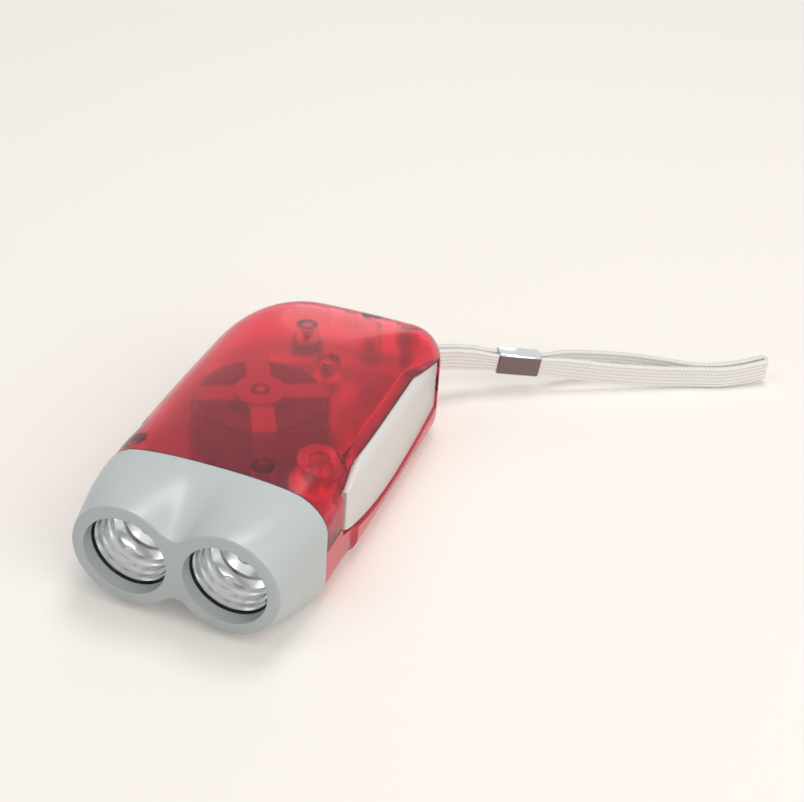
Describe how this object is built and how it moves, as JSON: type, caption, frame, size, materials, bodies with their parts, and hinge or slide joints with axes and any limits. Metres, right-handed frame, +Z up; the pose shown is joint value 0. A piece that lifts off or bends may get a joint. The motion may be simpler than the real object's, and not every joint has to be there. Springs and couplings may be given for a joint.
{
  "type": "hand-press dynamo flashlight",
  "caption": "Hand-press dynamo flashlight: translucent red grip shells, grey twin-lamp head, squeeze lever driving a geared generator, braided wrist strap.",
  "frame": {"origin": "centre of the footprint of the flashlight without its strap, on the plane of its flat underside", "axes": "+Z up, -Y towards the lamps, +X towards the squeeze lever"},
  "size_m": [0.1172, 0.1405, 0.028],
  "materials": {
    "red_shell": "translucent red moulded plastic",
    "grey_plastic": "satin light grey moulded plastic",
    "clear_lens": "clear moulded lens",
    "reflector_silver": "vacuum metallised",
    "led_epoxy": "clear epoxy lamp",
    "circuit_board": "solder mask",
    "cell_sleeve": "shrink sleeve",
    "steel": "bright drawn steel",
    "crimp_steel": "polished nickel plate",
    "gear_nylon": "natural nylon",
    "yoke_steel": "plated pressed steel",
    "flywheel_iron": "turned iron",
    "magnet_ferrite": "sintered ferrite",
    "bobbin_plastic": "moulded nylon",
    "coil_copper": "enamelled copper wire",
    "bush_brass": "turned brass",
    "strap_braid": "braided nylon cord"
  },
  "bodies": {
    "casing": {"upper_shell": "red_shell", "lower_shell": "red_shell", "head_bezel": "grey_plastic", "lens_left": "clear_lens", "lens_right": "clear_lens", "reflector": "reflector_silver", "led_left": "led_epoxy", "led_right": "led_epoxy", "led_board": "circuit_board", "storage_cell": "cell_sleeve", "cell_clip": "steel", "lever_pin": "steel", "lever_spring": "steel", "drive_shaft": "steel", "idler_shaft": "steel", "coil_bobbin": "bobbin_plastic", "coil_winding": "coil_copper", "lower_claw_plate": "yoke_steel", "upper_yoke_plate": "yoke_steel", "lower_bush": "bush_brass", "upper_bush": "bush_brass", "shell_screws": "steel", "strap_post": "steel", "wrist_strap": "strap_braid", "strap_crimp": "crimp_steel"},
    "squeeze_lever": {"lever": "grey_plastic", "lever_rack": "gear_nylon"},
    "lock_slider": {"lever_lock": "grey_plastic"},
    "drive_wheel": {"rack_pinion": "gear_nylon", "ratchet_pawl": "gear_nylon", "drive_gear": "gear_nylon"},
    "idler_wheel": {"idler_gear": "gear_nylon"},
    "rotor": {"rotor_shaft": "steel", "rotor_pinion": "bush_brass", "flywheel": "flywheel_iron", "ring_magnet": "magnet_ferrite"}
  },
  "joints": [
    {"name": "rotor_spin", "type": "hinge", "parent": "casing", "child": "rotor", "pos_m": [-0.004, 0.003, 0.012], "axis": [0, 0, 1], "range_deg": [0, 4887.76]},
    {"name": "idler_spin", "type": "hinge", "parent": "casing", "child": "idler_wheel", "pos_m": [0.00527, 0.01725, 0.006], "axis": [0, 0, -1], "range_deg": [0, 1267.2]},
    {"name": "drive_spin", "type": "hinge", "parent": "casing", "child": "drive_wheel", "pos_m": [-0.00457, 0.02922, 0.012], "axis": [0, 0, 1], "range_deg": [0, 369.6]},
    {"name": "lever_hinge", "type": "hinge", "parent": "casing", "child": "squeeze_lever", "pos_m": [0.017, -0.015, 0.013], "axis": [0, 0, -1], "range_deg": [0, 24]},
    {"name": "lock_slide", "type": "slide", "parent": "casing", "child": "lock_slider", "axis": [0, 1, 0], "range_m": [0, 0.0034]}
  ],
  "couplings": [
    {"joint": "idler_spin", "follows": "rotor_spin", "ratio": 0.25926},
    {"joint": "drive_spin", "follows": "rotor_spin", "ratio": 0.075617},
    {"joint": "lever_hinge", "follows": "rotor_spin", "ratio": 0.0049102}
  ]
}
